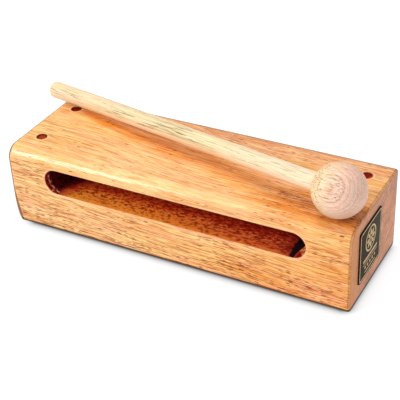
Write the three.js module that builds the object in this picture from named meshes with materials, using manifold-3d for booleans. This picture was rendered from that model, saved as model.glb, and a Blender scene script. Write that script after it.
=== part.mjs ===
// Wood block (percussion) with its beater lying on it.
// Millimetres, +Z up. Origin: the middle of the block's underside.
// +X runs along the block to the end that carries the label plate, and -Y is the side that the slot opens to.
import * as THREE from "three";
import { mergeVertices } from "three/addons/utils/BufferGeometryUtils.js";
import Module from "manifold-3d";

// ---- driving dimensions -------------------------------------------------
const BLOCK_LENGTH = 203.2; // X
const BLOCK_WIDTH = 66.0; // Y
const BLOCK_HEIGHT = 48.4; // Z
const R_FRONT_TOP = 8.0; // the playing edge above the slot, well rounded
const R_BACK_TOP = 1.8; // the other long edges, only eased
const R_BOTTOM = 3.0;
const R_LEFT_END = 3.3; // edges round the left end face
const LEFT_LEAN = 4.1; // how far that face comes in at the underside,
const LEFT_LEAN_HEIGHT = 23.0; // starting from this height,
const LEFT_LEAN_POWER = 1.2; // along a curve of this power: 1 is straight, 2 an ellipse
const R_RIGHT_END = 1.5; // edges round the right end face, crisper

const SLOT_LEFT = -76.7; // ends of the slot's mouth on the front face
const SLOT_RIGHT = 78.0;
const SLOT_Z = 33.2; // height of the slot's middle plane
const SLOT_RADIUS = 7.5; // half the slot's height, and the radius of its round ends
const SLOT_DEPTH = 50.0; // blind: the back wall is what is left of the width
const SLOT_EASE = 0.6; // small chamfer round the mouth

const DOWEL_RADIUS = 2.7;
const DOWEL_LENGTH = 40.0;
const DOWEL_CLEARANCE = 0.1;
const DOWEL_RECESS = 0.4; // their ends lie just below the top face
const DOWEL_PLACES = {
  dowel_front_left: [-88.6, -15.1],
  dowel_back_left: [-88.9, 19.9],
  dowel_front_right: [89.0, -15.1],
  dowel_back_right: [89.3, 19.4],
};

const LABEL_WIDTH = 29.9; // along Y
const LABEL_HEIGHT = 31.0; // along Z
const LABEL_THICKNESS = 0.6;
const LABEL_CORNER = 1.8;
const LABEL_Y = -7.7; // middle of the plate on the right end face
const LABEL_Z = 26.1;
const LABEL_GLUE = 0.05; // adhesive behind the plate

const BALL_RADIUS = 13.8;
const BALL_X = 89.4; // the ball's middle, above the block's top face
const BALL_Y = -19.6;
const STICK_RADIUS = 4.8;
const STICK_REACH = 204.6; // ball's middle to the free tip
const STICK_TENON = 5.0; // how far the stick runs past the ball's middle
const STICK_TIP_ROUND = 1.9;
const STICK_YAW = 13.58; // degrees: the stick crosses the block towards its back left corner
const BORE_CLEARANCE = 0.15;
const REST_GAP = 0.3; // air between the beater and the block where it rests
const STICK_REST_X = -98.4; // where the stick passes over the block's left edge

// ---- solids -------------------------------------------------------------
const wasm = await Module();
wasm.setup();

function toSolid(geometry) {
  const g = geometry.clone();
  g.deleteAttribute("normal");
  g.deleteAttribute("uv");
  const m = mergeVertices(g, 1e-4);
  return new wasm.Manifold(
    new wasm.Mesh({
      numProp: 3,
      vertProperties: new Float32Array(m.attributes.position.array),
      triVerts: new Uint32Array(m.index.array),
    }),
  );
}

function toGeometry(solid) {
  const m = solid.getMesh();
  const n = m.numProp;
  const v = new Float32Array(m.numVert * 3);
  for (let i = 0; i < m.numVert; i++)
    v.set(m.vertProperties.subarray(i * n, i * n + 3), i * 3);
  const g = new THREE.BufferGeometry()
    .setAttribute("position", new THREE.BufferAttribute(v, 3))
    .setIndex(new THREE.BufferAttribute(new Uint32Array(m.triVerts), 1));
  g.computeVertexNormals();
  return g;
}

// A rectangle from (x0, y0) to (x1, y1) whose four corners have their own radii:
// [low-low, high-low, high-high, low-high], each with its own number of chords.
// Points given as the last argument take the place of the first corner.
function roundedOutline(x0, y0, x1, y1, radii, steps, first = []) {
  const corners = [
    [x0 + radii[0], y0 + radii[0], 180],
    [x1 - radii[1], y0 + radii[1], 270],
    [x1 - radii[2], y1 - radii[2], 0],
    [x0 + radii[3], y1 - radii[3], 90],
  ];
  const points = [...first];
  corners.forEach(([cx, cy, start], k) => {
    if (k === 0 && first.length) return;
    for (let i = 0; i <= steps[k]; i++) {
      const a = THREE.MathUtils.degToRad(start + (90 * i) / steps[k]);
      points.push(
        new THREE.Vector2(
          cx + radii[k] * Math.cos(a),
          cy + radii[k] * Math.sin(a),
        ),
      );
    }
  });
  return new THREE.Shape(points);
}

// A slot outline: two half circles joined by straight lines.
function stadium(x0, x1, y, radius, steps) {
  const points = [];
  for (let i = 0; i <= steps; i++) {
    const a = THREE.MathUtils.degToRad(-90 + (180 * i) / steps);
    points.push(
      new THREE.Vector2(
        x1 - radius + radius * Math.cos(a),
        y + radius * Math.sin(a),
      ),
    );
  }
  for (let i = 0; i <= steps; i++) {
    const a = THREE.MathUtils.degToRad(90 + (180 * i) / steps);
    points.push(
      new THREE.Vector2(
        x0 + radius + radius * Math.cos(a),
        y + radius * Math.sin(a),
      ),
    );
  }
  return new THREE.Shape(points);
}

const extrude = (shape, depth, extra = {}) =>
  new THREE.ExtrudeGeometry(shape, { depth, bevelEnabled: false, ...extra });

// Basis changes that stand a flat outline up: along +X (outline in Y, Z), and along +Y (outline in X, Z).
const ALONG_X = new THREE.Matrix4().makeBasis(
  new THREE.Vector3(0, 1, 0),
  new THREE.Vector3(0, 0, 1),
  new THREE.Vector3(1, 0, 0),
);
const ALONG_Y = new THREE.Matrix4().makeBasis(
  new THREE.Vector3(1, 0, 0),
  new THREE.Vector3(0, 0, 1),
  new THREE.Vector3(0, -1, 0),
);

// ---- the block ----------------------------------------------------------
const HL = BLOCK_LENGTH / 2;
const HW = BLOCK_WIDTH / 2;

function makeBlock() {
  // Three outlines, one along each axis, meet in a bar whose edges are all eased.
  const side = extrude(
    roundedOutline(
      -HW,
      0,
      HW,
      BLOCK_HEIGHT,
      [R_BOTTOM, R_BOTTOM, R_BACK_TOP, R_FRONT_TOP],
      [4, 4, 3, 10],
    ),
    BLOCK_LENGTH + 10,
  );
  side.applyMatrix4(ALONG_X).translate(-HL - 5, 0, 0);
  const plan = extrude(
    roundedOutline(
      -HL,
      -HW,
      HL,
      HW,
      [R_LEFT_END, R_RIGHT_END, R_RIGHT_END, R_LEFT_END],
      [4, 3, 3, 4],
    ),
    BLOCK_HEIGHT + 10,
  );
  plan.translate(0, 0, -5);
  const lean = [];
  for (let i = 0; i <= 8; i++) {
    const a = ((Math.PI / 2) * i) / 8;
    const along = Math.max(Math.cos(a), 0) ** (2 / LEFT_LEAN_POWER);
    const up = Math.sin(a) ** (2 / LEFT_LEAN_POWER);
    lean.push(
      new THREE.Vector2(
        -HL + LEFT_LEAN * (1 - along),
        LEFT_LEAN_HEIGHT * (1 - up),
      ),
    );
  }
  const front = extrude(
    roundedOutline(
      -HL,
      0,
      HL,
      BLOCK_HEIGHT,
      [0, R_RIGHT_END, R_RIGHT_END, R_LEFT_END],
      [0, 3, 3, 4],
      lean,
    ),
    BLOCK_WIDTH + 10,
  );
  front.applyMatrix4(ALONG_Y).translate(0, HW + 5, 0);
  let block = toSolid(side).intersect(toSolid(plan)).intersect(toSolid(front));

  // The sound slot, cut from the front, with a small chamfer round its mouth.
  const cut = extrude(
    stadium(SLOT_LEFT, SLOT_RIGHT, SLOT_Z, SLOT_RADIUS, 14),
    SLOT_DEPTH + 5,
  );
  cut.applyMatrix4(ALONG_Y).translate(0, -HW + SLOT_DEPTH, 0);
  const mouth = extrude(
    stadium(SLOT_LEFT, SLOT_RIGHT, SLOT_Z, SLOT_RADIUS - 0.01, 14),
    5,
    {
      bevelEnabled: true,
      bevelThickness: SLOT_EASE,
      bevelSize: SLOT_EASE,
      bevelSegments: 1,
    },
  );
  // Its chamfered end lies SLOT_EASE inside the face, and its full outline at the face.
  mouth.applyMatrix4(ALONG_Y).translate(0, -HW, 0);
  block = block.subtract(toSolid(cut)).subtract(toSolid(mouth));

  // Blind holes for the four dowels.
  for (const [x, y] of Object.values(DOWEL_PLACES)) {
    const hole = new THREE.CylinderGeometry(
      DOWEL_RADIUS + DOWEL_CLEARANCE,
      DOWEL_RADIUS + DOWEL_CLEARANCE,
      DOWEL_LENGTH + 5,
      24,
    );
    hole.rotateX(Math.PI / 2);
    hole.translate(
      x,
      y,
      BLOCK_HEIGHT -
        DOWEL_RECESS -
        DOWEL_LENGTH -
        0.3 +
        (DOWEL_LENGTH + 5) / 2,
    );
    block = block.subtract(toSolid(hole));
  }
  return toGeometry(block);
}

// ---- the beater ---------------------------------------------------------
// Both pieces are turned: profiles of (radius, place along the stick's axis), with 0 at the ball's middle.
function makeStick() {
  const p = [new THREE.Vector2(0, -STICK_TENON)];
  p.push(new THREE.Vector2(STICK_RADIUS - 0.5, -STICK_TENON));
  p.push(new THREE.Vector2(STICK_RADIUS, -STICK_TENON + 0.5));
  p.push(new THREE.Vector2(STICK_RADIUS, STICK_REACH - STICK_TIP_ROUND - 0.6));
  for (let i = 1; i <= 5; i++) {
    const a = THREE.MathUtils.degToRad((90 * i) / 5);
    p.push(
      new THREE.Vector2(
        STICK_RADIUS - STICK_TIP_ROUND + STICK_TIP_ROUND * Math.cos(a),
        STICK_REACH - STICK_TIP_ROUND - 0.6 + STICK_TIP_ROUND * Math.sin(a),
      ),
    );
  }
  p.push(new THREE.Vector2(0, STICK_REACH));
  return new THREE.LatheGeometry(p, 32);
}

function makeBall() {
  const bore = STICK_RADIUS + BORE_CLEARANCE;
  const last = Math.acos(bore / BALL_RADIUS); // latitude where the bore breaks out
  const p = [];
  const rows = 18;
  for (let i = 0; i <= rows; i++) {
    const a = -Math.PI / 2 + ((last + Math.PI / 2) * i) / rows;
    p.push(
      new THREE.Vector2(
        i === 0 ? 0 : BALL_RADIUS * Math.cos(a),
        BALL_RADIUS * Math.sin(a),
      ),
    );
  }
  p.push(new THREE.Vector2(bore, -STICK_TENON - 0.4));
  p.push(new THREE.Vector2(0, -STICK_TENON - 0.4));
  return new THREE.LatheGeometry(p, 32);
}

// ---- materials ----------------------------------------------------------
const lacqueredWood = new THREE.MeshStandardMaterial({
  color: 0xe0a468,
  roughness: 0.32,
  metalness: 0,
});
const darkWood = new THREE.MeshStandardMaterial({
  color: 0x6a2414,
  roughness: 0.4,
  metalness: 0,
});
const rawWood = new THREE.MeshStandardMaterial({
  color: 0xefe0b8,
  roughness: 0.62,
  metalness: 0,
});
const rawBall = new THREE.MeshStandardMaterial({
  color: 0xebd0bd,
  roughness: 0.6,
  metalness: 0,
});
const labelPlate = new THREE.MeshStandardMaterial({
  color: 0x3b4a38,
  roughness: 0.35,
  metalness: 0.1,
});

// ---- assembly -----------------------------------------------------------
const root = new THREE.Group();

const block = new THREE.Group();
const body = new THREE.Mesh(makeBlock(), lacqueredWood);
body.name = "block_body";
block.add(body);

for (const [name, [x, y]] of Object.entries(DOWEL_PLACES)) {
  const g = new THREE.CylinderGeometry(
    DOWEL_RADIUS,
    DOWEL_RADIUS,
    DOWEL_LENGTH,
    24,
  );
  g.rotateX(Math.PI / 2);
  const dowel = new THREE.Mesh(g, darkWood);
  dowel.name = name;
  dowel.position.set(x, y, BLOCK_HEIGHT - DOWEL_RECESS - DOWEL_LENGTH / 2);
  block.add(dowel);
}

const plate = extrude(
  roundedOutline(
    -LABEL_WIDTH / 2,
    -LABEL_HEIGHT / 2,
    LABEL_WIDTH / 2,
    LABEL_HEIGHT / 2,
    [LABEL_CORNER, LABEL_CORNER, LABEL_CORNER, LABEL_CORNER],
    [4, 4, 4, 4],
  ),
  LABEL_THICKNESS,
);
plate.applyMatrix4(ALONG_X);
const label = new THREE.Mesh(plate, labelPlate);
label.name = "end_label";
label.position.set(HL + LABEL_GLUE, LABEL_Y, LABEL_Z);
block.add(label);
root.add(block);

// The beater rests on the ball at one end, and where the stick crosses the block's left edge at the other.
const beater = new THREE.Group();
const ballZ = BLOCK_HEIGHT + REST_GAP + BALL_RADIUS;
const yaw = THREE.MathUtils.degToRad(STICK_YAW);
const run = (BALL_X - STICK_REST_X) / Math.cos(yaw);
// Slope at which the stick's underside clears the block's top by REST_GAP over its left edge.
let slope = 0;
for (let i = 0; i < 20; i++)
  slope = Math.atan2(
    ballZ - (BLOCK_HEIGHT + REST_GAP + STICK_RADIUS / Math.cos(slope)),
    run,
  );
const axis = new THREE.Vector3(
  -Math.cos(slope) * Math.cos(yaw),
  Math.cos(slope) * Math.sin(yaw),
  -Math.sin(slope),
);
beater.position.set(BALL_X, BALL_Y, ballZ);
beater.quaternion.setFromUnitVectors(new THREE.Vector3(0, 1, 0), axis);

const stick = new THREE.Mesh(makeStick(), rawWood);
stick.name = "beater_stick";
beater.add(stick);
const ball = new THREE.Mesh(makeBall(), rawBall);
ball.name = "beater_head";
beater.add(ball);
root.add(beater);

export default root;
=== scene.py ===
import math

import bmesh
import bpy
from mathutils import Matrix, Vector


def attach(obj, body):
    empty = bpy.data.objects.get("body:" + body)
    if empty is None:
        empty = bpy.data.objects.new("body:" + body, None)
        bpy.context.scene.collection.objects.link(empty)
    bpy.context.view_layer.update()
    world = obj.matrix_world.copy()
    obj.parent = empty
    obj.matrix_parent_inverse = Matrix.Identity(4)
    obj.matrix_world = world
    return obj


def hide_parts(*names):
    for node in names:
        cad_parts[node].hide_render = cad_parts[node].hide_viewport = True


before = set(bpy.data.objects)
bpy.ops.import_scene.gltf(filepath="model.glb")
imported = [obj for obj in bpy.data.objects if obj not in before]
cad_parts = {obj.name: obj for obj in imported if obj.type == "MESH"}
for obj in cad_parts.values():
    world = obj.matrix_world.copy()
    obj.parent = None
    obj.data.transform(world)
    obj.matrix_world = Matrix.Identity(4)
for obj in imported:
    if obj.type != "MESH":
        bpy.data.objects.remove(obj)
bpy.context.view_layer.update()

MM = 0.001

# ---- sizes, as in the frame -------------------------------------------------
BLOCK_LENGTH, BLOCK_WIDTH, BLOCK_HEIGHT = 203.2, 66.0, 48.4
HL, HW = BLOCK_LENGTH / 2, BLOCK_WIDTH / 2
R_FRONT_TOP, R_BACK_TOP, R_BOTTOM = 8.0, 1.8, 3.0
R_LEFT_END, R_RIGHT_END = 3.3, 1.5
LEFT_SANDED = 0.5  # sanding has taken this off the left end
# Below this height the left end leans in, by this much at the underside, along a curve of this power.
LEFT_LEAN_HEIGHT, LEFT_LEAN, LEFT_LEAN_POWER = 23.0, 4.1, 1.2
SLOT_LEFT, SLOT_RIGHT, SLOT_Z, SLOT_RADIUS, SLOT_DEPTH = -76.7, 78.0, 33.2, 7.5, 50.0
SLOT_EASE = 0.5
DOWEL_RADIUS, DOWEL_LENGTH, DOWEL_RECESS = 2.7, 40.0, 0.4
DOWELS = {
    "dowel_front_left": (-88.6, -15.1),
    "dowel_back_left": (-88.9, 19.9),
    "dowel_front_right": (89.0, -15.1),
    "dowel_back_right": (89.3, 19.4),
}
LABEL_Y, LABEL_Z, LABEL_WIDTH, LABEL_HEIGHT, LABEL_THICK = -7.7, 26.1, 29.9, 31.0, 0.6
LABEL_BACK = HL + 0.05
BALL_RADIUS = 13.8
BALL_AT = Vector((89.4, -19.6, BLOCK_HEIGHT + 0.3 + BALL_RADIUS))
STICK_RADIUS, STICK_REACH, STICK_TENON = 4.8, 204.6, 5.0
STICK_YAW = math.radians(13.58)
STICK_REST_X = -98.4


def beater_axes():
    """The stick's direction from the ball to its tip, and two directions across it."""
    run = (BALL_AT.x - STICK_REST_X) / math.cos(STICK_YAW)
    slope = 0.0
    for _ in range(20):
        slope = math.atan2(
            BALL_AT.z - (BLOCK_HEIGHT + 0.3 + STICK_RADIUS / math.cos(slope)), run
        )
    along = Vector(
        (
            -math.cos(slope) * math.cos(STICK_YAW),
            math.cos(slope) * math.sin(STICK_YAW),
            -math.sin(slope),
        )
    ).normalized()
    side = along.cross(Vector((0, 0, 1))).normalized()
    up = side.cross(along).normalized()
    return along, side, up


ALONG, SIDE, UP = beater_axes()

# ---- camera -----------------------------------------------------------------
camera = bpy.data.objects.new("camera", bpy.data.cameras.new("camera"))
bpy.context.scene.collection.objects.link(camera)
bpy.context.scene.camera = camera
camera.data.sensor_width = 36.0
camera.data.lens = 96.83840130076469
camera.data.clip_start, camera.data.clip_end = 0.01, 50.0
RIGHT = Vector((0.8826667567227364, 0.46798033549757195, -0.04351783731006692))
DOWN = Vector((0.22567794050829385, -0.5032252868730982, -0.834166516841465))
AHEAD = Vector((-0.4122728025767652, 0.7264700380876471, -0.5497930701786184))
turn = Matrix((RIGHT, -DOWN, -AHEAD)).transposed().to_4x4()
turn.translation = Vector((243.45315526315508, -426.3027738555663, 344.03661758366644)) * MM
camera.matrix_world = turn

# ---- shader arithmetic --------------------------------------------------------


class V:
    """A shader value that can be added, multiplied and so on."""

    def __init__(self, graph, socket):
        self.g, self.s = graph, socket

    def __add__(self, o):
        return self.g.math("ADD", self, o)

    __radd__ = __add__

    def __sub__(self, o):
        return self.g.math("SUBTRACT", self, o)

    def __rsub__(self, o):
        return self.g.math("SUBTRACT", o, self)

    def __mul__(self, o):
        return self.g.math("MULTIPLY", self, o)

    __rmul__ = __mul__

    def __truediv__(self, o):
        return self.g.math("DIVIDE", self, o)

    def __neg__(self):
        return self * -1.0

    def abs(self):
        return self.g.math("ABSOLUTE", self)

    def pow(self, o):
        return self.g.math("POWER", self, o)

    def sqrt(self):
        return self.g.math("SQRT", self)

    def min(self, o):
        return self.g.math("MINIMUM", self, o)

    def max(self, o):
        return self.g.math("MAXIMUM", self, o)

    def clamp(self):
        return self.g.math("ADD", self, 0.0, clamp=True)

    def step(self, a, b):
        """0 below a, 1 above b, smooth between; a may be above b."""
        if a <= b:
            return self.g.ramp(self, a, b)
        return 1.0 - self.g.ramp(self, b, a)


class Graph:
    def __init__(self, name, roughness=0.5, specular=0.5):
        self.mat = bpy.data.materials.new(name)
        self.mat.use_nodes = True
        self.nodes, self.links = self.mat.node_tree.nodes, self.mat.node_tree.links
        self.nodes.clear()
        self.out = self.nodes.new("ShaderNodeOutputMaterial")
        self.bsdf = self.nodes.new("ShaderNodeBsdfPrincipled")
        self.links.new(self.bsdf.outputs[0], self.out.inputs[0])
        self.bsdf.inputs["Roughness"].default_value = roughness
        self.bsdf.inputs["Specular IOR Level"].default_value = specular
        coord = self.nodes.new("ShaderNodeTexCoord")
        scale = self.nodes.new("ShaderNodeVectorMath")
        scale.operation = "SCALE"
        scale.inputs["Scale"].default_value = 1000.0
        self.links.new(coord.outputs["Object"], scale.inputs[0])
        self.P = scale.outputs[0]
        split = self.nodes.new("ShaderNodeSeparateXYZ")
        self.links.new(self.P, split.inputs[0])
        self.X, self.Y, self.Z = (V(self, split.outputs[i]) for i in range(3))

    def feed(self, socket, value):
        if isinstance(value, V):
            self.links.new(value.s, socket)
        elif isinstance(value, bpy.types.NodeSocket):
            self.links.new(value, socket)
        else:
            socket.default_value = value

    def math(self, op, a, b=None, clamp=False):
        n = self.nodes.new("ShaderNodeMath")
        n.operation = op
        n.use_clamp = clamp
        self.feed(n.inputs[0], a)
        if b is not None:
            self.feed(n.inputs[1], b)
        return V(self, n.outputs[0])

    def ramp(self, v, a, b):
        n = self.nodes.new("ShaderNodeMapRange")
        n.interpolation_type = "SMOOTHSTEP"
        self.feed(n.inputs[0], v)
        n.inputs[1].default_value, n.inputs[2].default_value = a, b
        n.inputs[3].default_value, n.inputs[4].default_value = 0.0, 1.0
        return V(self, n.outputs[0])

    def vec(self, x, y, z):
        n = self.nodes.new("ShaderNodeCombineXYZ")
        for i, v in enumerate((x, y, z)):
            self.feed(n.inputs[i], v)
        return n.outputs[0]

    def noise(self, x, y, z, detail=2.0, rough=0.5, seed=0.0, distort=0.0):
        n = self.nodes.new("ShaderNodeTexNoise")
        n.noise_dimensions = "3D"
        self.feed(n.inputs["Vector"], self.vec(x + seed if seed else x, y, z))
        n.inputs["Scale"].default_value = 1.0
        n.inputs["Detail"].default_value = detail
        n.inputs["Roughness"].default_value = rough
        n.inputs["Distortion"].default_value = distort
        return V(self, n.outputs[0])

    def noise1(self, w, detail=2.0, rough=0.5):
        n = self.nodes.new("ShaderNodeTexNoise")
        n.noise_dimensions = "1D"
        self.feed(n.inputs["W"], w)
        n.inputs["Scale"].default_value = 1.0
        n.inputs["Detail"].default_value = detail
        n.inputs["Roughness"].default_value = rough
        return V(self, n.outputs[0])

    def cells(self, x, y, z, random=1.0):
        """Distance to the nearest scattered point, and that point's own random value."""
        n = self.nodes.new("ShaderNodeTexVoronoi")
        n.feature = "F1"
        self.feed(n.inputs["Vector"], self.vec(x, y, z))
        n.inputs["Scale"].default_value = 1.0
        n.inputs["Randomness"].default_value = random
        sep = self.nodes.new("ShaderNodeSeparateColor")
        self.links.new(n.outputs["Color"], sep.inputs[0])
        return V(self, n.outputs["Distance"]), V(self, sep.outputs[0])

    def dot(self, direction, centre=(0, 0, 0)):
        d = Vector(direction)
        x, y, z = self.X, self.Y, self.Z
        return x * d.x + y * d.y + z * d.z - Vector(centre).dot(d)

    def mix(self, f, a, b, blend="MIX"):
        n = self.nodes.new("ShaderNodeMix")
        n.data_type = "RGBA"
        n.blend_type = blend
        self.feed(n.inputs[0], f)
        for socket, c in ((n.inputs[6], a), (n.inputs[7], b)):
            if isinstance(c, tuple):
                socket.default_value = rgb(*c)
            else:
                self.feed(socket, c)
        return n.outputs[2]

    def blend(self, f, a, b):
        """A number between a and b."""
        return f * (b - a) + a

    def bump(self, height, distance, strength=1.0, before=None):
        n = self.nodes.new("ShaderNodeBump")
        n.inputs["Strength"].default_value = strength
        n.inputs["Distance"].default_value = distance
        self.feed(n.inputs["Height"], height)
        if before is not None:
            self.links.new(before, n.inputs["Normal"])
        return n.outputs[0]

    def finish(self, colour, roughness=None, normal=None):
        if isinstance(colour, tuple):
            self.bsdf.inputs["Base Color"].default_value = rgb(*colour)
        else:
            self.links.new(colour, self.bsdf.inputs["Base Color"])
        if roughness is not None:
            self.feed(self.bsdf.inputs["Roughness"], roughness)
        if normal is not None:
            self.links.new(normal, self.bsdf.inputs["Normal"])
        return self.mat


def rgb(r, g, b):
    """An sRGB colour from 0 to 255, as linear values."""
    out = []
    for c in (r, g, b):
        c = c / 255.0
        out.append(c / 12.92 if c <= 0.04045 else ((c + 0.055) / 1.055) ** 2.4)
    return (*out, 1.0)


# ---- mesh helpers -------------------------------------------------------------


def link(name, bm, sharp=35.0, scale=MM):
    """A mesh object from a bmesh in millimetres; edges sharper than the limit stay crisp."""
    bmesh.ops.scale(bm, vec=(scale, scale, scale), verts=bm.verts)
    bm.normal_update()
    for f in bm.faces:
        f.smooth = True
    if sharp is not None:
        for e in bm.edges:
            if len(e.link_faces) == 2 and e.calc_face_angle(0.0) > math.radians(sharp):
                e.smooth = False
    mesh = bpy.data.meshes.new(name)
    bm.to_mesh(mesh)
    bm.free()
    ob = bpy.data.objects.new(name, mesh)
    bpy.context.scene.collection.objects.link(ob)
    return ob


def skin(rings, close_ends=True, cyclic=True):
    """A closed surface over rings of points, each ring with the same number."""
    bm = bmesh.new()
    rows = [[bm.verts.new(p) for p in ring] for ring in rings]
    n = len(rows[0])
    for a, b in zip(rows, rows[1:]):
        for i in range(n if cyclic else n - 1):
            j = (i + 1) % n
            bm.faces.new((a[i], a[j], b[j], b[i]))
    if close_ends:
        bm.faces.new(list(reversed(rows[0])))
        bm.faces.new(rows[-1])
    bmesh.ops.recalc_face_normals(bm, faces=bm.faces)
    return bm


def turned(profile, centre, axis, side, segments=64):
    """A turned piece: profile of (radius, place along the axis), whose first and last points lie on the axis."""
    across = axis.cross(side)
    bm = bmesh.new()
    rows = []
    for r, s in profile:
        at = centre + axis * s
        if r < 1e-6:
            rows.append([bm.verts.new(at)])
        else:
            rows.append(
                [
                    bm.verts.new(
                        at
                        + side * (r * math.cos(2 * math.pi * k / segments))
                        + across * (r * math.sin(2 * math.pi * k / segments))
                    )
                    for k in range(segments)
                ]
            )
    for a, b in zip(rows, rows[1:]):
        for k in range(segments):
            j = (k + 1) % segments
            if len(a) == 1:
                bm.faces.new((a[0], b[j], b[k]))
            elif len(b) == 1:
                bm.faces.new((a[k], a[j], b[0]))
            else:
                bm.faces.new((a[k], a[j], b[j], b[k]))
    bmesh.ops.recalc_face_normals(bm, faces=bm.faces)
    return bm


def cut(target, tools, operation="DIFFERENCE"):
    """Cuts the tools out of the target, and removes them."""
    for t in tools:
        m = target.modifiers.new("cut", "BOOLEAN")
        m.operation, m.solver, m.object = operation, "EXACT", t
    bpy.context.view_layer.update()
    graph = bpy.context.evaluated_depsgraph_get()
    mesh = bpy.data.meshes.new_from_object(target.evaluated_get(graph))
    target.modifiers.clear()
    old, target.data = target.data, mesh
    bpy.data.meshes.remove(old)
    for t in tools:
        data = t.data
        bpy.data.objects.remove(t)
        bpy.data.meshes.remove(data)


def rounded(x0, y0, x1, y1, radii, steps):
    """A rectangle whose corners (low-low, high-low, high-high, low-high) have their own radii."""
    corners = (
        (x0 + radii[0], y0 + radii[0], 180),
        (x1 - radii[1], y0 + radii[1], 270),
        (x1 - radii[2], y1 - radii[2], 0),
        (x0 + radii[3], y1 - radii[3], 90),
    )
    points = []
    for (cx, cy, start), r, n in zip(corners, radii, steps):
        for i in range(n + 1):
            a = math.radians(start + 90 * i / n)
            points.append((cx + r * math.cos(a), cy + r * math.sin(a)))
    return points


def stadium(radius, steps=24):
    """The slot's outline in (x, z), radius wide of its middle line."""
    points = []
    for i in range(steps + 1):
        a = math.radians(-90 + 180 * i / steps)
        points.append(
            (SLOT_RIGHT - SLOT_RADIUS + radius * math.cos(a), SLOT_Z + radius * math.sin(a))
        )
    for i in range(steps + 1):
        a = math.radians(90 + 180 * i / steps)
        points.append(
            (SLOT_LEFT + SLOT_RADIUS + radius * math.cos(a), SLOT_Z + radius * math.sin(a))
        )
    return points


# ---- the block ----------------------------------------------------------------


def make_block():
    def inset(radius, s):
        """How far a rounded end edge has come in from the full section, s from the end face."""
        u = max(radius - s, 0.0)
        return radius - math.sqrt(max(radius * radius - u * u, 0.0))

    def section(x, top, front, bottom, back):
        radii = (
            max(R_BOTTOM - (front + bottom) / 2, 0.6),
            max(R_BOTTOM - (back + bottom) / 2, 0.6),
            max(R_BACK_TOP - (back + top) / 2, 0.6),
            max(R_FRONT_TOP - (front + top) / 2, 0.6),
        )
        outline = rounded(
            -HW + front, bottom, HW - back, BLOCK_HEIGHT - top, radii, (8, 8, 6, 20)
        )
        return [(x, y, z) for y, z in outline]

    left = -HL + LEFT_SANDED
    rings = []
    for i in range(33):
        a = math.radians(90 * i / 32)
        s = LEFT_LEAN * (1 - math.cos(a) ** (2 / LEFT_LEAN_POWER))
        under = LEFT_LEAN_HEIGHT * (1 - math.sin(a) ** (2 / LEFT_LEAN_POWER))
        e = inset(R_LEFT_END, s)
        rings.append(section(left + s, e, e, under, e))
    inner = 20
    x0, x1 = left + LEFT_LEAN, HL - R_RIGHT_END
    for i in range(1, inner):
        rings.append(section(x0 + (x1 - x0) * i / inner, 0.0, 0.0, 0.0, 0.0))
    for i in range(8):
        a = math.radians(90 * i / 7)
        e = R_RIGHT_END * (1 - math.cos(a))
        rings.append(section(HL - R_RIGHT_END * (1 - math.sin(a)), e, e, e, e))
    block = link("wood_block", skin(rings), sharp=None, scale=1.0)

    # The slot: a straight cutter, flared at the mouth into a small rounded edge.
    rows = []
    back = -HW + SLOT_DEPTH
    rows.append([(x, back, z) for x, z in stadium(SLOT_RADIUS - 0.8)])
    for i in range(5):
        a = math.radians(90 * i / 4)
        rows.append(
            [
                (x, back - 0.8 * math.sin(a), z)
                for x, z in stadium(SLOT_RADIUS - 0.8 * math.cos(a) * 0.999)
            ]
        )
    rows = rows[:1] + rows[2:]
    for i in range(7):
        a = math.radians(78 * i / 6)
        rows.append(
            [
                (x, -HW + SLOT_EASE * (1 - math.sin(a)), z)
                for x, z in stadium(SLOT_RADIUS + SLOT_EASE * (1 - math.cos(a)))
            ]
        )
    last = SLOT_RADIUS + SLOT_EASE * (1 - math.cos(math.radians(78)))
    rows.append([(x, -HW - 1.0, z) for x, z in stadium(last + 1.0 / math.tan(math.radians(12)) * 0.35)])
    tools = [link("slot_cutter", skin(rows), sharp=None, scale=1.0)]
    for name, (x, y) in DOWELS.items():
        r = DOWEL_RADIUS + 0.1
        profile = [
            (0, BLOCK_HEIGHT - DOWEL_RECESS - DOWEL_LENGTH - 0.3),
            (r, BLOCK_HEIGHT - DOWEL_RECESS - DOWEL_LENGTH - 0.3),
            (r, BLOCK_HEIGHT - 0.22),
            (r + 0.22, BLOCK_HEIGHT),
            (r + 0.42, BLOCK_HEIGHT + 0.2),
            (0, BLOCK_HEIGHT + 0.2),
        ]
        tools.append(
            link(
                "hole_" + name,
                turned(profile, Vector((x, y, 0)), Vector((0, 0, 1)), Vector((1, 0, 0)), 40),
                sharp=None,
                scale=1.0,
            )
        )
    cut(block, tools)
    bm = bmesh.new()
    bm.from_mesh(block.data)
    bmesh.ops.remove_doubles(bm, verts=bm.verts, dist=1e-4)
    old = block.data
    bpy.data.objects.remove(block)
    bpy.data.meshes.remove(old)
    block = link("wood_block", bm, sharp=32.0)
    m = block.modifiers.new("even shading", "WEIGHTED_NORMAL")
    m.keep_sharp, m.weight, m.mode = True, 100, "FACE_AREA"
    return block


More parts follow.
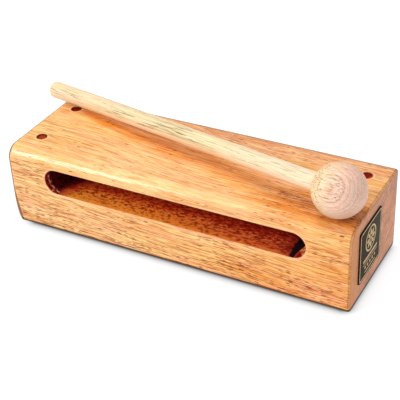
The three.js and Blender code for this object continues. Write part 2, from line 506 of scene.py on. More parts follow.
def block_material():
    g = Graph("lacquered_wood", roughness=0.48, specular=0.12)
    X, Y, Z = g.X, g.Y, g.Z
    # The grain runs slightly across the block and wanders a little as it goes.
    w1 = g.noise(X * 0.008, Y * 0.02, Z * 0.02, detail=2.0, seed=3.1) - 0.5
    w2 = g.noise(X * 0.008, Y * 0.02, Z * 0.02, detail=2.0, seed=17.7) - 0.5
    Yg = Y + X * 0.085 + w1 * 16.0
    Zg = Z + X * 0.035 + w2 * 12.0
    upright = Y.step(-HW + 6.0, -HW + 2.0).max(Y.step(HW - 2.0, HW - 0.6))

    def grain(along, across, **how):
        """Noise drawn out along the block, with each face wandering only in its own plane."""
        flat = g.noise(X * along, Yg * across, Z * across, **how)
        tall = g.noise(X * along, Y * across, Zg * across, **how)
        return g.blend(upright, flat, tall)

    def growth(y, z):
        return ((y - 70.0) * (y - 70.0) + (z + 95.0) * (z + 95.0)).sqrt()

    ring = growth(Y, Z)
    layers = g.blend(
        upright,
        g.noise1(growth(Yg, Z) * 0.4, detail=3.0, rough=0.6),
        g.noise1(growth(Y, Zg) * 0.4, detail=3.0, rough=0.6),
    )
    bands = grain(0.012, 0.1, detail=2.0, rough=0.5, seed=21.0)
    strands = grain(0.022, 0.42, detail=2.0, rough=0.6, seed=5.0)
    lines = grain(0.04, 1.15, detail=2.0, rough=0.65, seed=9.0)
    fine = grain(0.08, 1.9, detail=1.0, rough=0.5, seed=13.0)
    grit = grain(0.4, 2.0, detail=1.0, rough=0.5, seed=71.0)
    pink = grain(0.02, 0.12, detail=3.0, rough=0.6, seed=33.0)
    right = X.step(-70.0, 100.0)
    top = Z.step(BLOCK_HEIGHT - 12.0, BLOCK_HEIGHT - 5.0)
    front = Y.step(-HW + 4.0, -HW + 1.5)
    low = Z.step(22.0, 5.0)
    # The playing edge: the rounding over the slot, rubbed smooth; its pale tint is a painted highlight.
    bend = Y.step(-HW + 9.0, -HW + 5.0) * Z.step(BLOCK_HEIGHT - 8.5, BLOCK_HEIGHT - 6.0)

    # Where the heartwood's orange comes to the surface.
    run = X * X * 0.0012 - X * 0.165 - 2.0
    across = (Y - run + w2 * 10.0).abs()
    width = X.step(-75.0, -25.0) * 6.5 + 5.5
    heart = (1.0 - (across / width)).max(0.0) * X.step(-97.0, -70.0) * X.step(60.0, 20.0)
    heart = heart.step(0.0, 0.8)
    corner = X.step(36.0, 66.0) * Y.step(-2.0, -14.0) * (1.0 - front)
    back = Y.step(14.0, 22.0) * X.step(-60.0, 10.0)
    foot = front * (X.step(5.0, 60.0) * Z.step(24.0, 8.0)).max(X.step(56.0, 88.0) * Z.step(46.0, 30.0) * 0.6)
    orange = top * (heart * 1.0 + corner * 1.1) + foot * 0.55
    orange = (orange * g.blend(strands.step(0.38, 0.62), 0.5, 1.3) + (bands - 0.5) * 0.9 + right * 0.2).clamp()

    light = (layers - 0.5) * 0.8 + (strands - 0.5) * g.blend(front, 1.3, 2.0) + (bands - 0.5) * 0.8
    light = (light + (grit - 0.5) * g.blend(front, 0.6, 1.0) + 0.55).clamp()
    pale = g.mix(light, (232, 162, 88), (254, 214, 142))
    deep = g.mix(light, (222, 112, 22), (255, 172, 70))
    c = g.mix(orange, pale, deep)
    # Lighter orange in the heart band towards the ball end: painted light that lifts the stick's shadow there.
    c = g.mix(top * heart * X.step(-30.0, 0.0) * 0.35, c, (255, 180, 104))
    c = g.mix(top * corner * 0.5, c, g.mix(light, (196, 112, 34), (236, 168, 88)))
    c = g.mix(pink.step(0.47, 0.6) * g.blend(front, 0.4, 0.55), c, (250, 180, 138))
    c = g.mix(front * X.step(20.0, -60.0) * 0.3, c, g.mix(light, (238, 180, 124), (255, 224, 174)))
    c = g.mix(X.step(50.0, 70.0) * front * Z.step(26.0, 36.0) * 0.3, c, (254, 196, 124))
    c = g.mix(top * back * 0.7, c, g.mix(light, (202, 130, 86), (242, 182, 138)))
    middle = top * X.step(-66.0, -30.0) * X.step(30.0, 8.0) * Y.step(-7.0, -14.0)
    c = g.mix(middle * 0.5, c, g.mix(light, (236, 176, 120), (255, 218, 166)))
    # A pale tint on the rounding: painted highlight.
    c = g.mix(bend * X.step(50.0, -10.0) * 0.3, c, (238, 190, 110))
    # A narrow pale line along the rounding, where the gloss highlight lies: painted highlight.
    painted_highlight_line = (Z - (BLOCK_HEIGHT - 2.0)).abs().step(1.3, 0.3) * Y.step(-HW + 6.0, -HW + 4.5)
    c = g.mix(painted_highlight_line * X.step(-40.0, 10.0) * X.step(62.0, 40.0) * 0.3, c, (255, 238, 160))
    c = g.mix(bend * X.step(-20.0, 30.0) * Z.step(BLOCK_HEIGHT - 3.4, BLOCK_HEIGHT - 4.6) * 0.3, c, (226, 160, 92))
    # Long fine lines, pale ones between them, and the short dark dashes of open vessels.
    c = g.mix(lines.step(0.53, 0.63) * g.blend(front, 0.44, 0.5) * (1.0 - bend * 0.3), c, (210, 112, 38))
    c = g.mix(lines.step(0.47, 0.37) * 0.45, c, (255, 226, 164))
    c = g.mix(fine.step(0.55, 0.66) * g.blend(front, 0.4, 0.5) * (1.0 - bend * 0.4), c, (194, 94, 22))
    where = grain(0.03, 0.14, detail=1.0, seed=55.0)
    crowd = where.step(0.42, 0.62) * g.blend(front, 0.25, 0.5) + front * 0.22 + front * low * 0.4
    crowd = (crowd + top * (corner * 0.8 + back * 0.3)).clamp() * (1.0 - bend * 0.5)
    streaks = grain(0.07, 1.7, detail=1.0, rough=0.5, seed=91.0)
    c = g.mix(streaks.step(0.59, 0.65) * g.blend(front, 0.55, 0.6) * (1.0 - bend * 0.6), c, (186, 86, 12))
    dash = grain(0.13, 2.1, detail=1.0, rough=0.5, seed=41.0)
    dark = dash.step(0.58, 0.62) * crowd
    gap, own = g.cells(X * 0.22, g.blend(upright, Yg, Y) * 1.5, g.blend(upright, Z, Zg) * 1.5)
    pores = gap.step(0.36, 0.25) * ((crowd * 0.5 + 0.04 - own) * 12.0).clamp()
    c = g.mix(dash.step(0.55, 0.6) * crowd * 0.4, c, (222, 116, 34))
    c = g.mix(dark * 0.9, c, (136, 46, 0))
    c = g.mix(pores * 0.9, c, (124, 42, 0))
    # End grain is pinker and finer: growth layers show as faint arcs.
    away = (1.0 - Z / LEFT_LEAN_HEIGHT).max(0.0).pow(LEFT_LEAN_POWER)
    away = (1.0 - (1.0 - away).max(0.0).pow(1.0 / LEFT_LEAN_POWER)) * LEFT_LEAN
    from_left = X + (HL - LEFT_SANDED) - away
    end = X.step(HL - 0.5, HL - 0.05).max(from_left.step(1.1, 0.2))
    speck = g.noise(X * 0.3, Y * 1.1, Z * 1.1, detail=3.0, rough=0.7, seed=77.0)
    cloud = g.noise(X * 0.3, Y * 0.12, Z * 0.12, detail=2.0, rough=0.6, seed=87.0)
    arcs = g.noise1((ring + speck * 0.8) * 0.6, detail=2.0, rough=0.6)
    e = g.mix(((speck - 0.5) * 1.8 + (arcs - 0.5) * 1.3 + (cloud - 0.5) * 1.6 + 0.5).clamp(), (174, 110, 74), (234, 164, 124))
    e = g.mix(Y.step(-14.0, -HW) * 0.75, e, (222, 142, 74))
    dots, own_dot = g.cells(X * 0.15, Y * 1.4, Z * 1.4)
    e = g.mix(dots.step(0.3, 0.12) * own_dot.step(0.55, 0.8) * 0.4, e, (146, 86, 56))
    c = g.mix(end, c, e)
    c = g.mix(X.step(HL - 1.5, HL - 1.0) * X.step(HL - 0.4, HL - 0.8) * Z.step(3.0, 6.0) * 0.4, c, (150, 88, 46))
    # Some edges are darker, and along the lowest one a dark band is painted shade where the block meets the floor.
    rim = Y.step(HW - 3.2, HW - 2.0) * Z.step(BLOCK_HEIGHT - 1.6, BLOCK_HEIGHT - 0.8)
    rim = rim.max(from_left.step(2.9, 1.9) * from_left.step(0.02, 0.3) * (1.0 - Y.step(HW - 6.0, HW - 4.0) * front))
    c = g.mix(rim * 0.7, c, (166, 124, 98))
    # A darker band round the left end.
    left_edge_band = from_left.step(2.7, 1.9) * from_left.step(0.6, 1.0)
    c = g.mix(left_edge_band * 0.8, c, (118, 84, 62))
    c = g.mix(X.step(HL - 1.9, HL - 1.2) * Y.step(HW - 2.2, HW - 1.2) * 0.9, c, (122, 80, 68))
    px = X.abs() - (X.step(-1.0, 1.0) * 0.4 + 88.75)
    py = (Y - 2.3).abs() - 17.4
    collar = (px * px + py * py).sqrt()
    c = g.mix(top * collar.step(3.25, 2.95) * 0.9, c, (96, 16, 2))
    c = g.mix(top * collar.step(4.6, 3.9) * collar.step(3.3, 3.6) * 0.4, c, (255, 206, 168))
    # Painted shade: a dark band along the bottom edge, where the block meets the floor.
    c = g.mix(Z.step(3.4, 2.3) * 0.92, c, (52, 36, 28))

    # Inside the slot: stained, rough, near black towards both ends; the left end's shadow on the floor and a lit patch
    # on the right end wall are painted.
    depth = Y + HW
    half = (SLOT_RIGHT - SLOT_LEFT) / 2 - SLOT_RADIUS
    ex = ((X - (SLOT_LEFT + SLOT_RIGHT) / 2).abs() - half).max(0.0)
    ez = Z - SLOT_Z
    sd = (ex * ex + ez * ez).sqrt() - SLOT_RADIUS
    # Paler round the mouth.
    c = g.mix(front * sd.step(1.7, 1.0) * 0.4, c, (255, 200, 152))
    inside = depth.step(0.2, 0.5) * depth.step(SLOT_DEPTH + 4.0, SLOT_DEPTH + 2.0) * sd.step(0.6, 0.15)
    fuzz = g.noise(X * 0.42, Y * 0.72, Z * 0.75, detail=1.0, rough=0.6, seed=61.0)
    nap = g.noise(X * 0.28, Y * 0.5, Z * 0.5, detail=1.0, rough=0.5, seed=64.0)
    clots = g.noise(X * 0.12, Y * 0.18, Z * 0.18, detail=2.0, rough=0.6, seed=67.0)
    slot_right = (X + (clots - 0.5) * 60.0).step(-30.0, 62.0)
    stain = (0.85 - depth.step(0.5, 16.0) * 0.55 + (clots - 0.5) * 1.3 + (fuzz - 0.5) * 2.2).clamp()
    shallow = depth.step(8.0, 4.0)
    s = g.mix(stain, g.mix(slot_right, (226, 66, 12), (176, 20, 12)), g.mix(slot_right, (255, 166, 52), (255, 118, 50)))
    s = g.mix(fuzz.step(0.53, 0.59) * g.blend(shallow, 0.88, 0.82), s, g.mix(slot_right, (124, 12, 6), (84, 2, 6)))
    s = g.mix(nap.step(0.55, 0.63) * 0.5, s, (126, 12, 8))
    s = g.mix(shallow * 0.3, s, g.mix(slot_right, (255, 160, 54), (226, 70, 34)))
    s = g.mix(fuzz.step(0.45, 0.37) * 0.7, s, g.mix(slot_right, (255, 176, 76), (255, 146, 84)))
    s = g.mix(depth.step(1.6, 3.0) * depth.step(11.0, 8.0) * 0.15, s, g.mix(slot_right, (190, 74, 22), (128, 26, 14)))
    s = g.mix((depth + (nap - 0.5) * 7.0).step(3.0, 1.4) * 0.6, s, g.mix(slot_right, (250, 152, 50), (248, 142, 48)))
    s = g.mix(depth.step(8.0, 16.0) * 0.55, s, (178, 14, 14))
    # The left end's shadow on the slot floor is painted: a red edge, then dark towards the end.
    painted_penumbra = (X + (clots - 0.5) * 8.0 + (fuzz - 0.5) * 8.0 - depth * 0.27).step(-60.0, -67.0)
    s = g.mix(painted_penumbra * 0.6, s, (196, 34, 28))
    painted_floor_shadow = (X + (clots - 0.5) * 8.0 + (fuzz - 0.5) * 8.0 - depth * 0.27).step(-66.0, -70.5)
    s = g.mix(painted_floor_shadow * 0.9, s, g.mix(fuzz.step(0.4, 0.5), (150, 26, 18), (84, 8, 10)))
    wall_left = X.step(SLOT_LEFT + 8.5, SLOT_LEFT + 6.0)
    s = g.mix(wall_left, s, g.mix(fuzz.step(0.42, 0.58), (96, 5, 6), (178, 36, 24)))
    lip = (X + 67.4) * -0.2 + 3.2
    ragged = depth - lip + (nap - 0.5) * 5.5
    # A pink streak along the left wall near the mouth: painted highlight.
    streak = wall_left * ragged.step(-2.7, -2.0) * ragged.step(-0.2, -0.9) * Z.step(35.0, 33.0) * fuzz.step(0.58, 0.48)
    s = g.mix(streak * 0.9, s, (255, 204, 180))
    dark_left_wall = wall_left * (depth - lip + (fuzz - 0.5) * 2.4).step(-0.6, 0.5)
    band_x = X + (fuzz - 0.5) * 0.7
    fan = band_x - (depth - 4.0).max(0.0) * 0.21
    s = g.mix(band_x.step(58.0, 68.0) * 0.5, s, (132, 12, 14))
    dark_right_band = (band_x + depth.step(0.0, 9.0) * 1.1).step(68.2, 69.2) * fan.step(71.6, 71.0)
    beyond = fan.step(71.0, 71.6)
    # On the right end wall beyond the dark band, a tan patch is painted light; the rest there is maroon.
    painted_lit_patch = (depth + (X - 71.1) * 1.3 + (nap - 0.5) * 2.0).step(7.0, 8.0)
    tan = g.mix(nap.step(0.42, 0.58), (190, 92, 36), (250, 176, 104))
    s = g.mix(beyond, s, g.mix(painted_lit_patch, (150, 8, 16), tan))
    s = g.mix(beyond * fan.step(72.5, 71.9) * 0.1, s, (255, 178, 156))
    s = g.mix(beyond * Z.step(36.5, 38.0) * 0.85, s, (60, 6, 8))
    s = g.mix(dark_left_wall * 0.96, s, g.mix(fuzz.step(0.4, 0.52) * Z.step(36.0, 31.0), (14, 2, 4), (104, 8, 18)))
    s = g.mix(dark_right_band * 0.97, s, (12, 2, 6))
    c = g.mix(inside, c, s)

    rough = g.blend(inside * depth.step(1.0, 4.0), (strands - 0.5) * 0.16 + 0.46, 0.85)
    grain_height = lines * 0.4 + fine * 0.3 - dark * 0.25 - pores * 0.25
    height = g.blend(inside, grain_height * 0.2, fuzz * 2.2)
    n = g.bump(height, 0.00018, 0.5)
    shine = (bend * X.step(50.0, -50.0) * 0.3 + top * (1.0 - bend * 0.5) * 0.2 + 0.04) * (1.0 - inside) * (1.0 - end * 0.6) * (1.0 - rim.max(left_edge_band))
    g.feed(g.bsdf.inputs["Coat Weight"], shine)
    g.bsdf.inputs["Coat Roughness"].default_value = 0.11
    return g.finish(c, rough, n)


block = make_block()
block.data.materials.clear()
block.data.materials.append(block_material())
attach(block, "block")
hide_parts("block_body")


# ---- the dowels ------------------------------------------------------------------


def make_dowel(name, x, y, turn_by):
    top, r = BLOCK_HEIGHT - DOWEL_RECESS - 0.08, DOWEL_RADIUS
    low = BLOCK_HEIGHT - DOWEL_RECESS - DOWEL_LENGTH
    profile = [(0, low), (r - 0.3, low), (r, low + 0.3)]
    for i in range(6):
        a = math.radians(90 * i / 5)
        profile.append((r - 0.25 + 0.25 * math.cos(a), top - 0.25 + 0.25 * math.sin(a)))
    for i in range(1, 5):
        q = (r - 0.25) * (1 - i / 5)
        profile.append((q, top + 0.08 * (1 - (q / r) ** 2)))
    profile.append((0, top + 0.08))
    side = Vector((math.cos(turn_by), math.sin(turn_by), 0))
    return link("peg_" + name[6:], turned(profile, Vector((x, y, 0)), Vector((0, 0, 1)), side, 48))


def dowel_material(x, y, seed):
    g = Graph("dark_dowel_" + str(seed), roughness=0.5, specular=0.03)
    dx, dy = g.X - x, g.Y - y
    r = (dx * dx + dy * dy).sqrt()
    pores, own = g.cells(g.X * 3.4, g.Y * 3.4, g.Z * 0.12)
    mottle = g.noise(g.X * 1.1, g.Y * 1.1, g.Z * 0.1, detail=3.0, rough=0.6, seed=float(seed))
    rings = g.noise1(((g.X - x + 5.0) * 1.3 + mottle * 2.0), detail=2.0)
    tone = ((mottle - 0.5) * 1.2 + (rings - 0.5) * 0.7 + 0.5).clamp()
    c = g.mix(tone, (104, 8, 2), (150, 26, 4)) if seed != 1 else g.mix(tone, (120, 28, 8), (176, 68, 16))
    c = g.mix(r.step(DOWEL_RADIUS - 0.9, DOWEL_RADIUS - 0.1) * 0.85, c, (66, 4, 2))
    # Lighter towards one side of the peg top: painted light.
    c = g.mix((dx - dy * 0.3).step(1.0, 2.1) * 0.6, c, (186, 84, 28))
    c = g.mix(pores.step(0.28, 0.12) * own.step(0.3, 0.8) * 0.7, c, (44, 10, 6))
    n = g.bump(mottle * 0.4 + pores.step(0.1, 0.3) * 0.6, 0.00012, 0.5)
    return g.finish(c, 0.46 + mottle * 0.12, n)


for k, (name, (x, y)) in enumerate(DOWELS.items()):
    peg = make_dowel(name, x, y, 0.4 + 1.3 * k)
    peg.data.materials.append(dowel_material(x, y, k + 1))
    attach(peg, "block")
    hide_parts(name)


# ---- the plate on the end -----------------------------------------------------------


def on_face(points, x):
    """Points given across and up the plate, set on the end face."""
    return [(x, LABEL_Y + u, LABEL_Z + v) for u, v in points]


def make_plate():
    w, h, t, e = LABEL_WIDTH / 2, LABEL_HEIGHT / 2, LABEL_THICK, 0.18
    rows = []
    for inset, x in ((0.0, LABEL_BACK), (0.0, LABEL_BACK + t - e)):
        rows.append(on_face(rounded(-w + inset, -h + inset, w - inset, h - inset, [1.8] * 4, [8] * 4), x))
    for i in range(1, 5):
        a = math.radians(90 * i / 4)
        inset = e * (1 - math.cos(a))
        rows.append(
            on_face(
                rounded(-w + inset, -h + inset, w - inset, h - inset, [1.8 - inset] * 4, [8] * 4),
                LABEL_BACK + t - e + e * math.sin(a),
            )
        )
    return link("label_plate", skin(rows), sharp=50.0)


def ribbon(bm, outer, inner, x, rise):
    """A raised flat line between two closed outlines with the same number of points."""
    rows = [on_face(outer, x), on_face(outer, x + rise), on_face(inner, x + rise), on_face(inner, x)]
    rows = [[bm.verts.new(p) for p in r] for r in rows]
    n = len(rows[0])
    for a, b in zip(rows, rows[1:] + rows[:1]):
        for i in range(n):
            j = (i + 1) % n
            bm.faces.new((a[i], a[j], b[j], b[i]))


def pad(bm, outline, x, rise):
    """A raised flat shape."""
    low = [bm.verts.new(p) for p in on_face(outline, x)]
    top = [bm.verts.new(p) for p in on_face(outline, x + rise)]
    n = len(low)
    for i in range(n):
        j = (i + 1) % n
        bm.faces.new((low[i], low[j], top[j], top[i]))
    bm.faces.new(top)
    bm.faces.new(list(reversed(low)))


def circle(r, u=0.0, v=0.0, n=64):
    return [(u + r * math.cos(2 * math.pi * i / n), v + r * math.sin(2 * math.pi * i / n)) for i in range(n)]


def make_gold():
    """Gold lines: a frame, a ring round an eight-petalled rosette, and rules with diamonds under it."""
    bm = bmesh.new()
    x = LABEL_BACK + LABEL_THICK - 0.02
    w, h = LABEL_WIDTH / 2, LABEL_HEIGHT / 2

    def frame_line(inset, width, r):
        ribbon(
            bm,
            rounded(-w + inset, -h + inset, w - inset, h - inset, [r] * 4, [8] * 4),
            rounded(
                -w + inset + width, -h + inset + width, w - inset - width, h - inset - width,
                [max(r - width, 0.1)] * 4, [8] * 4,
            ),
            x, 0.07,
        )

    frame_line(0.85, 0.7, 1.2)
    cu, cv = 0.0, 4.9
    ribbon(bm, circle(7.2, cu, cv), circle(6.2, cu, cv), x, 0.1)
    for k in range(8):
        a = math.pi * k / 4
        outline = []
        for i in range(17):
            s = i / 16
            half = 1.05 * math.sin(math.pi * s) ** 0.8
            outline.append((1.5 + 4.1 * s, half))
        for i in range(15, 0, -1):
            s = i / 16
            half = 1.05 * math.sin(math.pi * s) ** 0.8
            outline.append((1.5 + 4.1 * s, -half))
        pad(
            bm,
            [
                (cu + p * math.cos(a) - q * math.sin(a), cv + p * math.sin(a) + q * math.cos(a))
                for p, q in outline
            ],
            x, 0.1,
        )
    pad(bm, circle(1.0, cu, cv, 24), x, 0.13)
    for v, half, thick in ((-3.9, 9.6, 1.5), (-6.6, 9.6, 0.5), (-11.6, 7.2, 0.7)):
        pad(bm, rounded(-half, v - thick, half, v, [0.15] * 4, [3] * 4), x, 0.1)
    for u in (-6.6, -3.3, 0.0, 3.3, 6.6):
        pad(bm, [(u, -9.3 + 1.1), (u - 1.1, -9.3), (u, -9.3 - 1.1), (u + 1.1, -9.3)], x, 0.1)
    bmesh.ops.recalc_face_normals(bm, faces=bm.faces)
    return link("label_gold_lines", bm, sharp=40.0)


def plate_material():
    g = Graph("label_plate", roughness=0.42, specular=0.015)
    u, v = g.Y - LABEL_Y, g.Z - LABEL_Z
    w, h = LABEL_WIDTH / 2, LABEL_HEIGHT / 2
    edge = (w - u.abs()).min(h - v.abs())
    mott = g.noise(g.X * 0.5, g.Y * 1.4, g.Z * 1.4, detail=4.0, rough=0.65, seed=2.0)
    speck = g.noise(g.X, g.Y * 5.0, g.Z * 5.0, detail=2.0, seed=8.0)
    field = g.mix((v + u * 0.5).step(-14.0, 12.0), (22, 12, 6), (56, 50, 32))
    field = g.mix((mott - 0.5).abs() * 1.6, field, (112, 84, 48))
    field = g.mix(speck.step(0.62, 0.78) * 0.35, field, (34, 32, 24))
    c = g.mix(edge.step(2.3, 2.1), field, (30, 16, 8))
    wear = edge.step(0.28, 0.05) * mott.step(0.42, 0.6)
    c = g.mix(wear * 0.5, c, (96, 84, 66))
    n = g.bump(mott * 0.5 + speck * 0.3, 0.00005, 0.4)
    return g.finish(c, 0.3 + mott * 0.18, n)


def gold_material():
    g = Graph("label_gold", roughness=0.38, specular=0.08)
    mott = g.noise(g.X, g.Y * 2.2, g.Z * 2.2, detail=3.0, rough=0.6, seed=4.0)
    c = g.mix(mott.step(0.35, 0.65), (190, 146, 90), (236, 208, 156))
    rub = g.noise(g.X, g.Y * 0.9, g.Z * 0.9, detail=4.0, rough=0.7, seed=14.0)
    c = g.mix(rub.step(0.56, 0.68) * 0.55, c, (96, 80, 44))
    n = g.bump(mott, 0.00004, 0.4)
    return g.finish(c, 0.32 + mott * 0.16, n)


plate = make_plate()
plate.data.materials.append(plate_material())
gold = make_gold()
gold.data.materials.append(gold_material())
for piece in (plate, gold):
    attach(piece, "block")
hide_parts("end_label")


# ---- the beater ------------------------------------------------------------------------


def make_stick():
    r = STICK_RADIUS
    tip = 1.5
    profile = [(0, -STICK_TENON), (r - 0.5, -STICK_TENON), (r, -STICK_TENON + 0.5)]
    straight = STICK_REACH - tip - 0.35
    n = 52
    for i in range(1, n + 1):
        s = -STICK_TENON + 0.5 + (straight + STICK_TENON - 0.5) * i / n
        wave = 0.03 * math.sin(0.21 * s + 1.0) + 0.02 * math.sin(0.53 * s)
        profile.append((r + wave * min(1.0, (straight - s) / 6.0), s))
    for i in range(1, 9):
        a = math.radians(90 * i / 8)
        profile.append((r - tip + tip * math.cos(a), straight + tip * math.sin(a)))
    for i in range(1, 5):
        q = (r - tip) * (1 - i / 5)
        profile.append((q, straight + tip + 0.35 * (1 - (q / (r - tip)) ** 2) * 0.6))
    profile.append((0, straight + tip + 0.21))
    return link("beater_stick_wood", turned(profile, BALL_AT, ALONG, SIDE, 72))


def make_ball():
    bore = STICK_RADIUS + 0.12
    last = math.acos((bore + 0.35) / BALL_RADIUS)
    profile = [(0, -BALL_RADIUS)]
    rows = 56
    for i in range(1, rows + 1):
        a = -math.pi / 2 + (last + math.pi / 2) * i / rows
        profile.append((BALL_RADIUS * math.cos(a), BALL_RADIUS * math.sin(a)))
    end = BALL_RADIUS * math.sin(last)
    profile.append((bore + 0.14, end - 0.06))
    profile.append((bore, end - 0.4))
    profile.append((bore, -STICK_TENON - 0.4))
    profile.append((0, -STICK_TENON - 0.4))
    return link("beater_ball_wood", turned(profile, BALL_AT, ALONG, SIDE, 96), sharp=40.0)


def stick_material():
    g = Graph("raw_stick_wood", roughness=0.62, specular=0.35)
    s, u, v = g.dot(ALONG, BALL_AT), g.dot(SIDE, BALL_AT), g.dot(UP, BALL_AT)
    bend = (g.noise(s * 0.012, u * 0.05, v * 0.05, detail=1.0, seed=2.0) - 0.5) * 3.0
    ug, vg = u + bend, v + bend * 0.6
    layers = g.noise1((ug * 0.8 + vg * 0.55) * 0.9, detail=2.0)
    fibres = g.noise(s * 0.025, ug * 1.5, vg * 1.5, detail=3.0, rough=0.6, seed=6.0)
    fine = g.noise(s * 0.04, ug * 2.2, vg * 2.2, detail=2.0, seed=9.0)
    dash = g.noise(s * 0.09, ug * 2.2, vg * 2.2, detail=1.0, seed=11.0)
    where = g.noise(s * 0.03, ug * 0.3, vg * 0.3, detail=1.0, seed=19.0)
    tone = ((layers - 0.5) * 0.7 + (fibres - 0.5) * 1.5 + 0.6).clamp()
    c = g.mix(tone, (206, 178, 128), (240, 224, 180))
    blush = g.noise(s * 0.02, ug * 0.25, vg * 0.25, detail=1.0, seed=29.0)
    c = g.mix(blush.step(0.5, 0.66) * 0.45, c, (255, 216, 184))
    c = g.mix(fine.step(0.54, 0.64) * 0.5, c, (186, 152, 102))
    c = g.mix(fine.step(0.44, 0.36) * 0.4, c, (250, 240, 204))
    thread = g.noise(s * 0.022, ug * 1.5, vg * 1.5, detail=1.0, seed=67.0)
    c = g.mix(thread.step(0.54, 0.6) * s.step(175.0, 130.0) * 0.36, c, (172, 138, 90))
    near = s.step(72.0, 52.0) * s.step(12.0, 18.0) * 0.8
    c = g.mix(dash.step(0.56, 0.63) * where.step(0.4, 0.54).max(near) * 0.85, c, (124, 104, 66))
    # Two opposite sides are painted pinker: painted light, standing in for the lit edge and the orange light bounced
    # from the block.
    painted_edge_light = (u * 0.7 + v * 0.7).abs().step(2.4, 4.4)
    c = g.mix(painted_edge_light * 0.6, c, (252, 214, 178))
    c = g.mix(s.step(90.0, 20.0) * 0.36, c, (250, 232, 206))
    c = g.mix(s.step(110.0, 190.0) * 0.3, c, (224, 196, 156))
    n = g.bump(fibres * 0.5 + dash * 0.5, 0.0002, 0.5)
    return g.finish(c, 0.58 + fibres * 0.12, n)


def ball_material():
    g = Graph("raw_ball_wood", roughness=0.6, specular=0.35)
    s, u, v = g.dot(ALONG, BALL_AT), g.dot(SIDE, BALL_AT), g.dot(UP, BALL_AT)
    d = g.dot((-0.0545, -0.8175, 0.573), BALL_AT)
    wob = (g.noise(g.X * 0.07, g.Y * 0.07, g.Z * 0.07, detail=1.0, seed=1.0) - 0.5) * 1.6
    layers = g.noise1((d + wob) * 1.2, detail=2.0)
    lines = (g.math("SINE", (d + wob) * (2 * math.pi / 0.8)) + 1.0) * 0.5
    fibres = g.noise(s * 0.2, u * 1.6, v * 1.6, detail=3.0, rough=0.6, seed=7.0)
    hairs = g.noise(s * 0.16, u * 1.5, v * 1.5, detail=1.0, seed=12.0)
    tone = ((layers - 0.5) * 0.9 + (fibres - 0.5) * 1.2 + 0.55).clamp()
    rosy = s.step(5.0, -8.0)
    c = g.mix(rosy, g.mix(tone, (222, 184, 138), (250, 224, 184)), g.mix(tone, (242, 184, 158), (255, 222, 200)))
    # The underside is darker: painted shade.
    under = v.step(1.0, -9.0)
    c = g.mix(under * 0.56, c, (182, 136, 90))
    # The far side from the stick, above the middle, is lighter: painted light lifting its shade.
    c = g.mix(s.step(-6.0, -12.0) * v.step(-6.0, 0.0) * 0.4, c, (255, 216, 192))
    patch = g.noise(g.X * 0.25, g.Y * 0.25, g.Z * 0.25, detail=1.0, seed=37.0)
    broad = (g.math("SINE", (d + wob * 2.4) * (2 * math.pi / 1.7)) + 1.0) * 0.5
    c = g.mix(broad.step(0.5, 0.9) * g.blend(rosy, 0.08, 0.14), c, (218, 162, 132))
    c = g.mix(broad.step(0.4, 0.1) * rosy * 0.3, c, (255, 230, 214))
    flecks = g.noise(s * 0.3, u * 0.8, v * 0.8, detail=1.0, seed=53.0)
    c = g.mix(flecks.step(0.5, 0.62) * rosy * 0.3, c, (226, 158, 138))
    long_hairs = g.noise(s * 0.07, u * 1.4, v * 1.4, detail=1.0, seed=43.0)
    c = g.mix(long_hairs.step(0.53, 0.6) * v.step(0.0, 6.0) * s.step(-9.0, -3.0) * 0.4, c, (200, 148, 112))
    calm = 1.0 - d.step(12.7, 13.4) * 0.7
    ring = calm * lines.step(0.5, 0.9) * g.blend(patch.step(0.4, 0.6), 0.4, 1.0)
    c = g.mix(ring * g.blend(rosy, 0.44, 0.36), c, (198, 142, 106))
    # Open vessels show as short dark hairs: most on the side that the rings close round.
    eye = (d.step(11.4, 12.8) * 0.7).max(s.step(-1.0, 8.0) * d.step(2.0, 6.0) * 0.75)
    dash = hairs.step(0.54, 0.6) * g.blend(eye, 0.18, 1.0) * g.blend(lines, 0.7, 1.0) * g.blend(calm, 0.5, 1.0)
    c = g.mix(dash, c, (136, 108, 70))
    n = g.bump(fibres * 0.5 + lines * 0.2 - dash * 0.3, 0.0002, 0.5)
    return g.finish(c, 0.56 + fibres * 0.12, n)


stick = make_stick()
stick.data.materials.append(stick_material())
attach(stick, "beater")
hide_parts("beater_stick")
ball = make_ball()
ball.data.materials.append(ball_material())
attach(ball, "beater")
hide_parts("beater_head")

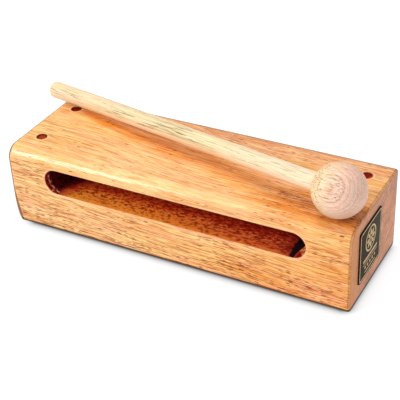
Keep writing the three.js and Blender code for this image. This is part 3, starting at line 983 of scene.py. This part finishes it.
# ---- floor, light ------------------------------------------------------------------------
bm = bmesh.new()
bmesh.ops.create_grid(bm, x_segments=1, y_segments=1, size=8000.0)
floor = link("floor", bm)
g = Graph("plain_floor", roughness=0.9, specular=0.0)
# White and slightly luminous, as a lit sheet of paper is, but darkened by a painted contact shadow right where the
# block stands on it.
fx = (g.X - (HL - 6.0)).max(-(g.X + (HL - 13.0))).max(0.0)
fy = (g.Y.abs() - (HW - 6.0)).max(0.0)
gap = (fx * fx + fy * fy).sqrt() - 6.0
side = g.X.step(HL - 8.0, HL + 2.0)
painted_contact_shadow = g.math("EXPONENT", (gap + g.blend(side, 2.27, 1.14)).max(0.0) * -1.0 / g.blend(side, 2.21, 1.46))
g.bsdf.inputs["Emission Color"].default_value = (1, 1, 1, 1)
g.feed(g.bsdf.inputs["Emission Strength"], (1.0 - painted_contact_shadow) * 0.9)
tint = g.mix(painted_contact_shadow, (124, 124, 126), (20, 16, 14))
floor.data.materials.append(g.finish(tint))

world = bpy.data.worlds.new("soft_white")
bpy.context.scene.world = world
world.use_nodes = True
world.node_tree.nodes["Background"].inputs[0].default_value = (1, 1, 1, 1)
world.node_tree.nodes["Background"].inputs[1].default_value = 0.48


def area(name, direction, distance, size_x, size_y, level, colour=(1, 1, 1)):
    """A soft light whose level is what it adds to a white surface that faces it."""
    data = bpy.data.lights.new(name, "AREA")
    data.shape = "RECTANGLE"
    data.size, data.size_y = size_x, size_y
    data.energy = level * math.pi**2 * distance**2
    data.color = colour
    ob = bpy.data.objects.new(name, data)
    bpy.context.scene.collection.objects.link(ob)
    d = Vector(direction).normalized()
    ob.location = d * distance
    ob.rotation_mode = "QUATERNION"
    ob.rotation_quaternion = d.to_track_quat("Z", "Y")
    return ob


area("key", (-0.55, -0.61, 0.57), 3.0, 0.95, 1.1, 0.58)
area("top", (-0.22, 0.12, 0.96), 3.0, 1.6, 1.6, 0.46)

scene = bpy.context.scene
scene.view_settings.view_transform = "Standard"
scene.view_settings.look = "None"
